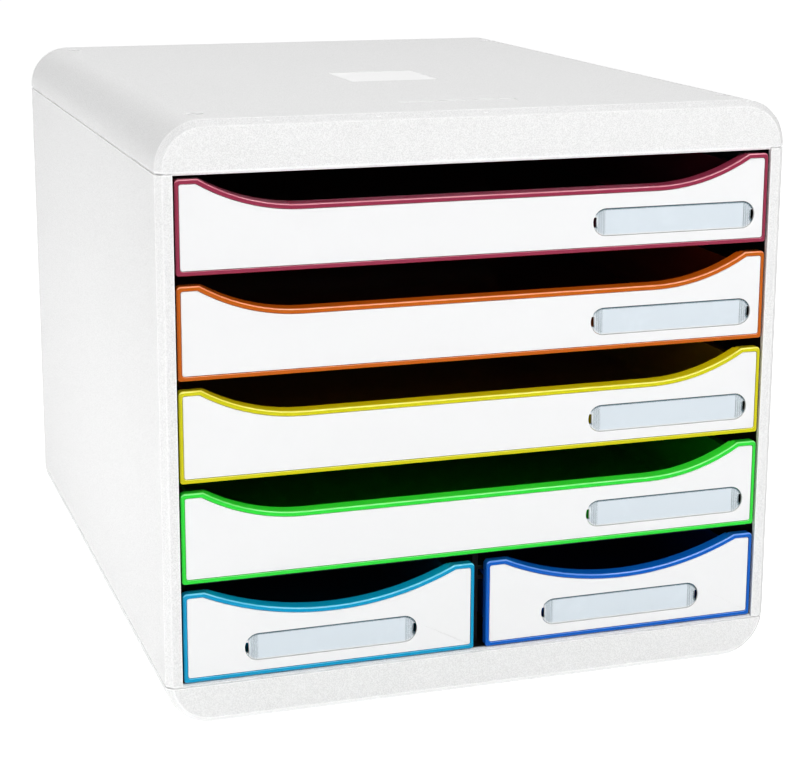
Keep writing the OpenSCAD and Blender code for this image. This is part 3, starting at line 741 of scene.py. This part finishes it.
def gloss_tray(name, tint_value, settings):
    """Coloured glossy plastic of one tray, with a painted highlight along its upper front edge, painted light
    on its sloped lip and a little paling of its other rubbed edges.
    """
    material, tree, shader = new_material("gloss_" + name)
    marks = use(tree, "handling_marks", {"Smear Size": 30 * MM, "Scuff Size": 4 * MM})
    edge_mask = use(tree, "edge_wear", {"Width": 0.7 * MM, "Break Up": 0.3})
    dust = use(tree, "settled_dust", {"Amount": 0.04, "Speck Size": 1.4 * MM})
    tint = moulded(tree, tint_value, variation=0.05, patch_size=40 * MM)
    facing = parts(tree, add(tree, "ShaderNodeNewGeometry").outputs["Normal"])
    # lip is painted light that lightens the rim's sloped top; upper is a painted highlight on its rounded
    # upper front edge.
    lip, upper = (
        product(tree, stepped(tree, facing["Y"], forward), stepped(tree, facing["Z"], upward))
        for forward, upward in ((LIP_FORWARD, LIP_UPWARD), (HIGHLIGHT_FORWARD, HIGHLIGHT_UPWARD))
    )
    lip_with_painted_light = laid(tree, tint, lightened(tint_value, LIP_LIGHT_GAIN), lip)
    # The painted highlight, with a little paling of the other outer edges from rubbing.
    painted_highlight_and_wear = maths(tree, "MAXIMUM", upper, product(tree, edge_mask["Mask"], OTHER_EDGES))
    painted_light_and_wear = laid(tree, lip_with_painted_light, lightened(tint_value, HIGHLIGHT_GAIN, HIGHLIGHT_LIFT), painted_highlight_and_wear)
    tree.links.new(laid(tree, painted_light_and_wear, TRAY_DUST, dust["Mask"]), shader.inputs["Base Color"])
    roughen(tree, shader, settings.tray_roughness, marks["Smears"], change=0.07)
    emboss(tree, shader, marks["Smears"], strength=0.25, depth=0.02 * MM)
    shader.inputs["IOR"].default_value = 1.53
    shader.inputs["Coat Weight"].default_value = 0.5
    shader.inputs["Coat Roughness"].default_value = 0.08
    return material


def gloss_plate(settings):
    """White glossy front plate with a trace of wiped smears and edges lightened as a painted highlight with
    polish.
    """
    material, tree, shader = new_material("gloss_plate")
    marks = use(tree, "handling_marks", {"Smear Size": 45 * MM, "Scuff Size": 3 * MM})
    edge_mask = use(tree, "edge_wear", {"Width": 0.6 * MM, "Break Up": 0.2})
    tint = moulded(tree, settings.plate, variation=0.006, patch_size=100 * MM)
    # Along the edges the white lightens further: a painted highlight, with some polish.
    tree.links.new(laid(tree, tint, PLATE_EDGE_HIGHLIGHT, edge_mask["Mask"], amount=0.5), shader.inputs["Base Color"])
    roughen(tree, shader, settings.plate_roughness, marks["Smears"], change=0.10)
    emboss(tree, shader, marks["Smears"], strength=0.2, depth=0.02 * MM)
    shader.inputs["IOR"].default_value = 1.5
    return material


def clear_window(settings):
    """Clear plastic: a nearly bare face, cut edges and ribs made dense and dark as painted shade, a painted
    shade line along the upper edges and a painted highlight along the lower edge.
    """
    material, tree, shader = new_material("clear_window")
    normal = add(tree, "ShaderNodeNewGeometry").outputs["True Normal"]
    facing = maths(tree, "ABSOLUTE", parts(tree, normal)["Y"])
    cut_edge = maths(tree, "SUBTRACT", 1.0, stepped(tree, facing, CUT_EDGE))
    rounded = add(tree, "ShaderNodeBevel", {"Radius": settings.window_line}, samples=8).outputs[0]
    upper, lower = (
        vector_maths(tree, "DOT_PRODUCT", rounded, way, output="Value") for way in (UPPER_WAY, LOWER_WAY)
    )
    # Painted shade: a dark line on the cut edges and along the upper edges; painted highlight: a bright line
    # along the lower edge.
    painted_shade_line = maths(tree, "MAXIMUM", cut_edge, stepped(tree, upper, PAINTED_SHADE_SPAN))
    painted_highlight_line = stepped(tree, lower, PAINTED_HIGHLIGHT_SPAN)
    marks = use(tree, "handling_marks", {"Smear Size": 20 * MM, "Scuff Size": 2 * MM})
    tint = blended(tree, painted_shade_line, tuple(settings.window), tuple(settings.rim))
    lit = blended(tree, painted_highlight_line, tint, tuple(settings.window_painted_highlight))
    tree.links.new(lit, shader.inputs["Base Color"])
    gain = settings.rim_opacity - settings.window_opacity
    dense = maths(tree, "ADD", settings.window_opacity, product(tree, painted_shade_line, gain))
    hazed = maths(tree, "ADD", dense, product(tree, marks["Smears"], SMEAR_HAZE), clamp=True)
    tree.links.new(hazed, shader.inputs["Alpha"])
    roughen(tree, shader, WINDOW_ROUGHNESS, marks["Smears"], change=0.10)
    shader.inputs["IOR"].default_value = 1.5
    return material


def label_card(settings):
    """Pale card with paper fibres."""
    material, tree, shader = new_material("label_card")
    stretched = add(tree, "ShaderNodeMapping", {"Vector": on_piece(tree), "Scale": FIBRE_STRETCH}).outputs[0]
    fibres = noise(tree, stretched, FIBRE_SCALE, detail=5.0, roughness=0.7)
    tint = moulded(tree, settings.card, variation=0.012, patch_size=15 * MM)
    flecked = laid(tree, tint, CARD_FLECK, stepped(tree, fibres, FLECKS), amount=0.06)
    tree.links.new(flecked, shader.inputs["Base Color"])
    roughen(tree, shader, CARD_ROUGHNESS, fibres, change=0.15)
    emboss(tree, shader, fibres, strength=0.5, depth=0.02 * MM)
    return material


def dress(piece, material):
    """Gives a piece one material, in every slot that it has."""
    if not piece.material_slots:
        piece.data.materials.append(material)
    for held in piece.material_slots:
        held.material = material


# ---------------------------------------------------------------- operators

# Steps of each round corner of the badge film, and the profile of a true quarter round
BADGE_SEGMENTS = 6
ROUND_PROFILE = 0.5


class TOWER_OT_casing(bpy.types.Operator):
    """Round and finish the white shell"""
    bl_idname = "tower.casing"
    bl_label = "Casing"

    def execute(self, context):
        settings = context.scene.tower_casing
        make_shared_groups()
        finish = satin_shell(settings)
        for name in COVER_NODES:
            round_edges(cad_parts[name], settings.cover_radius, short_edge=COVER_SHORT_EDGE)
        for name in SIDE_NODES:
            round_edges(
                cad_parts[name], settings.side_radius, short_edge=SIDE_SHORT_EDGE, clamped=False
            )
        for name in COVER_NODES + SIDE_NODES:
            dress(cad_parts[name], finish)
        return {"FINISHED"}


class TOWER_OT_badge(bpy.types.Operator):
    """Lay the bare film in the cover's recess"""
    bl_idname = "tower.badge"
    bl_label = "Badge film"

    def execute(self, context):
        settings = context.scene.tower_casing
        make_shared_groups()
        cover_low, cover_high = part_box("top_cover")
        size = Vector((settings.badge_width, settings.badge_length, settings.badge_thickness))
        middle = Vector((
            (cover_low.x + cover_high.x) / 2,
            cover_low.y + settings.badge_set_back,
            cover_high.z - settings.badge_recess + settings.badge_thickness / 2,
        ))
        placed = Matrix.Translation(middle) @ Matrix.Diagonal(size).to_4x4()
        shape = bmesh.new()
        bmesh.ops.create_cube(shape, size=1.0, matrix=placed)
        upright = [
            edge for edge in shape.edges
            if abs(edge.verts[0].co.z - edge.verts[1].co.z) > settings.badge_thickness / 2
        ]
        bmesh.ops.bevel(
            shape, geom=upright, offset=settings.badge_round, segments=BADGE_SEGMENTS,
            profile=ROUND_PROFILE, affect="EDGES",
        )
        mesh = bpy.data.meshes.new("badge_film")
        shape.to_mesh(mesh)
        shape.free()
        film = bpy.data.objects.new("badge_film", mesh)
        context.scene.collection.objects.link(film)
        dress(film, smooth_film(settings))
        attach(film, CASING_BODY)
        return {"FINISHED"}


class TOWER_OT_runners(bpy.types.Operator):
    """Round and finish the black runner panels, divider, shelf and floor"""
    bl_idname = "tower.runners"
    bl_label = "Runners"

    def execute(self, context):
        settings = context.scene.tower_casing
        make_shared_groups()
        finish = matt_runner(settings)
        for name in RUNNER_NODES:
            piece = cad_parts[name]
            round_edges(piece, settings.runner_radius, segments=2)
            dress(piece, finish)
        return {"FINISHED"}


class TOWER_OT_feet(bpy.types.Operator):
    """Round and finish the rubber feet"""
    bl_idname = "tower.feet"
    bl_label = "Feet"

    def execute(self, context):
        settings = context.scene.tower_casing
        make_shared_groups()
        finish = foot_rubber(settings)
        for name in FEET_NODES:
            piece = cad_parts[name]
            round_edges(piece, settings.rubber_radius)
            dress(piece, finish)
        return {"FINISHED"}


class TOWER_OT_trays(bpy.types.Operator):
    """Round and finish the six trays, and even the shading of their rims"""
    bl_idname = "tower.trays"
    bl_label = "Trays"

    def execute(self, context):
        settings = context.scene.tower_drawers
        make_shared_groups()
        for number, tint in zip(DRAWERS, DRAWER_TINTS):
            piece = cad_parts["drawer_%d_tray" % number]
            rim_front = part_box(piece.name)[0].y
            round_edges(
                piece, settings.tray_radius, front_radius=settings.bead_radius, front=rim_front,
                moulded_depth=settings.rim_round, clamped=False,
            )
            add_nodes(piece, "rim_shading", {"Front": rim_front, "Radius": settings.rim_round})
            dress(piece, gloss_tray(tint, getattr(settings, tint), settings))
        return {"FINISHED"}


class TOWER_OT_fronts(bpy.types.Operator):
    """Round and finish the white front plates"""
    bl_idname = "tower.fronts"
    bl_label = "Front plates"

    def execute(self, context):
        settings = context.scene.tower_drawers
        make_shared_groups()
        finish = gloss_plate(settings)
        for number in DRAWERS:
            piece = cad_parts["drawer_%d_front_plate" % number]
            round_edges(piece, settings.plate_radius, room_share=FREE_SHARE)
            dress(piece, finish)
        return {"FINISHED"}


class TOWER_OT_labels(bpy.types.Operator):
    """Finish the clear label windows and the cards behind them"""
    bl_idname = "tower.labels"
    bl_label = "Label holders"

    def execute(self, context):
        settings = context.scene.tower_labels
        make_shared_groups()
        clear = clear_window(settings)
        paper = label_card(settings)
        for number in DRAWERS:
            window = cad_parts["drawer_%d_label_window" % number]
            round_edges(window, settings.window_radius, room_share=FREE_SHARE, segments=2)
            dress(window, clear)
            dress(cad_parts["drawer_%d_label_card" % number], paper)
        return {"FINISHED"}


# ---------------------------------------------------------------- stage

WHITE = (1, 1, 1, 1)
SENSOR_WIDTH = 36.0
NEAREST_SEEN = 0.01
# Upward share of a direction over which the surround goes from the horizon's light to the sky's
SKY_CLIMB = (0.0, 0.6)


def pale_floor(settings):
    """Matt pale floor that glows a little, so that shadows stay soft, and that glossy faces mirror dimly."""
    material, tree, shader = new_material("pale_floor")
    tint = moulded(tree, settings.floor, variation=0.004, patch_size=900 * MM)
    glossy = add(tree, "ShaderNodeLightPath").outputs["Is Glossy Ray"]
    tree.links.new(blended(tree, glossy, tint, FLOOR_MIRRORED), shader.inputs["Base Color"])
    shader.inputs["Roughness"].default_value = FLOOR_ROUGHNESS
    shader.inputs["Emission Color"].default_value = WHITE
    glow = product(tree, maths(tree, "SUBTRACT", 1.0, glossy), settings.floor_glow)
    tree.links.new(glow, shader.inputs["Emission Strength"])
    return material


def softbox(name, lamp_power, size, place, target):
    """A rectangular area light of a width and a height that looks at a point."""
    lamp = bpy.data.lights.new(name, "AREA")
    lamp.shape = "RECTANGLE"
    lamp.size, lamp.size_y = size
    lamp.energy = lamp_power
    made = bpy.data.objects.new(name, lamp)
    bpy.context.scene.collection.objects.link(made)
    made.location = place
    made.rotation_euler = (Vector(target) - Vector(place)).to_track_quat("-Z", "Y").to_euler()
    made.visible_camera = False


def soft_surround(settings):
    """White light from all round, brighter above than at the horizon."""
    world = bpy.data.worlds.new("soft_surround")
    bpy.context.scene.world = world
    world.use_nodes = True
    tree = world.node_tree
    tree.nodes.clear()
    seen = add(tree, "ShaderNodeBackground", {"Color": WHITE, "Strength": 1.0})
    upward = parts(tree, add(tree, "ShaderNodeTexCoord").outputs["Generated"])["Z"]
    rise = product(tree, stepped(tree, upward, SKY_CLIMB), settings.sky - settings.horizon)
    strength = maths(tree, "ADD", rise, settings.horizon)
    felt = add(tree, "ShaderNodeBackground", {"Color": WHITE, "Strength": strength})
    path = add(tree, "ShaderNodeLightPath").outputs["Is Camera Ray"]
    both = add(tree, "ShaderNodeMixShader", {0: path, 1: felt.outputs[0], 2: seen.outputs[0]})
    add(tree, "ShaderNodeOutputWorld", {"Surface": both.outputs[0]})


def aim_camera(settings):
    """The camera at its place, looking along its heading and tilt."""
    lens = bpy.data.cameras.new("camera")
    lens.sensor_fit = "HORIZONTAL"
    lens.sensor_width = SENSOR_WIDTH
    lens.lens = settings.camera_lens
    lens.shift_y = settings.camera_rise
    lens.clip_start = NEAREST_SEEN
    camera = bpy.data.objects.new("camera", lens)
    bpy.context.scene.collection.objects.link(camera)
    # An unturned camera looks straight down, and a quarter turn raises it to the horizontal.
    heading = Matrix.Rotation(-settings.camera_heading, 4, "Z")
    tilt = Matrix.Rotation(math.radians(90) + settings.camera_tilt, 4, "X")
    roll = Matrix.Rotation(settings.camera_roll, 4, "Z")
    camera.matrix_world = Matrix.Translation(settings.camera_place) @ heading @ tilt @ roll
    bpy.context.scene.camera = camera


class TOWER_OT_stage(bpy.types.Operator):
    """Lay the pale floor, hang the soft lights and place the camera"""
    bl_idname = "tower.stage"
    bl_label = "Floor, light and camera"

    def execute(self, context):
        settings = context.scene.tower_stage
        make_shared_groups()
        mesh = bpy.data.meshes.new("floor")
        half = settings.floor_size / 2
        corners = [(-half, -half, 0), (half, -half, 0), (half, half, 0), (-half, half, 0)]
        mesh.from_pydata(corners, [], [(0, 1, 2, 3)])
        floor = bpy.data.objects.new("floor", mesh)
        context.scene.collection.objects.link(floor)
        dress(floor, pale_floor(settings))
        soft_surround(settings)
        softbox(
            "overhead_softbox", settings.overhead,
            size=(1.3, 0.9), place=(0.1, 0.5, 1.4), target=(0, 0, 0.25),
        )
        softbox(
            "shoulder_softbox", settings.shoulder,
            size=(0.5, 0.5), place=(-0.75, 0.0, 0.85), target=(-0.13, 0, 0.25),
        )
        softbox(
            "overhead_strip", settings.strip,
            size=(1.2, 0.12), place=(0.3, -1.15, 1.25), target=(0, -0.17, 0.2),
        )
        softbox(
            "side_softbox", settings.side,
            size=(0.6, 0.2), place=(-0.42, 0.0, 0.01), target=(-0.14, 0, 0.10),
        )
        context.scene.view_settings.view_transform = "Standard"
        context.scene.view_settings.look = "Medium High Contrast"
        aim_camera(settings)
        return {"FINISHED"}


class TOWER_PT_panel(bpy.types.Panel):
    """The steps that finish the tower, in order"""
    bl_idname = "TOWER_PT_panel"
    bl_label = "Drawer tower"
    bl_space_type = "VIEW_3D"
    bl_region_type = "UI"
    bl_category = "Drawer tower"

    def draw(self, context):
        for operator in OPERATORS:
            self.layout.operator(operator.bl_idname)
        for group in SETTINGS:
            held = getattr(context.scene, group)
            box = self.layout.box()
            box.label(text=type(held).__name__)
            for name in type(held).__annotations__:
                box.prop(held, name)


OPERATORS = (
    TOWER_OT_casing, TOWER_OT_badge, TOWER_OT_runners, TOWER_OT_feet,
    TOWER_OT_trays, TOWER_OT_fronts, TOWER_OT_labels, TOWER_OT_stage,
)
SETTINGS = {
    "tower_casing": CasingSettings,
    "tower_drawers": DrawerSettings,
    "tower_labels": LabelSettings,
    "tower_stage": StageSettings,
}


def register():
    for group in SETTINGS.values():
        bpy.utils.register_class(group)
    for name, group in SETTINGS.items():
        setattr(bpy.types.Scene, name, PointerProperty(type=group))
    for operator in OPERATORS:
        bpy.utils.register_class(operator)
    bpy.utils.register_class(TOWER_PT_panel)


def unregister():
    bpy.utils.unregister_class(TOWER_PT_panel)
    for operator in reversed(OPERATORS):
        bpy.utils.unregister_class(operator)
    for name, group in SETTINGS.items():
        delattr(bpy.types.Scene, name)
        bpy.utils.unregister_class(group)


def main():
    register()
    bpy.ops.tower.casing()
    bpy.ops.tower.badge()
    bpy.ops.tower.runners()
    bpy.ops.tower.feet()
    bpy.ops.tower.trays()
    bpy.ops.tower.fronts()
    bpy.ops.tower.labels()
    bpy.ops.tower.stage()


if __name__ == "__main__":
    main()
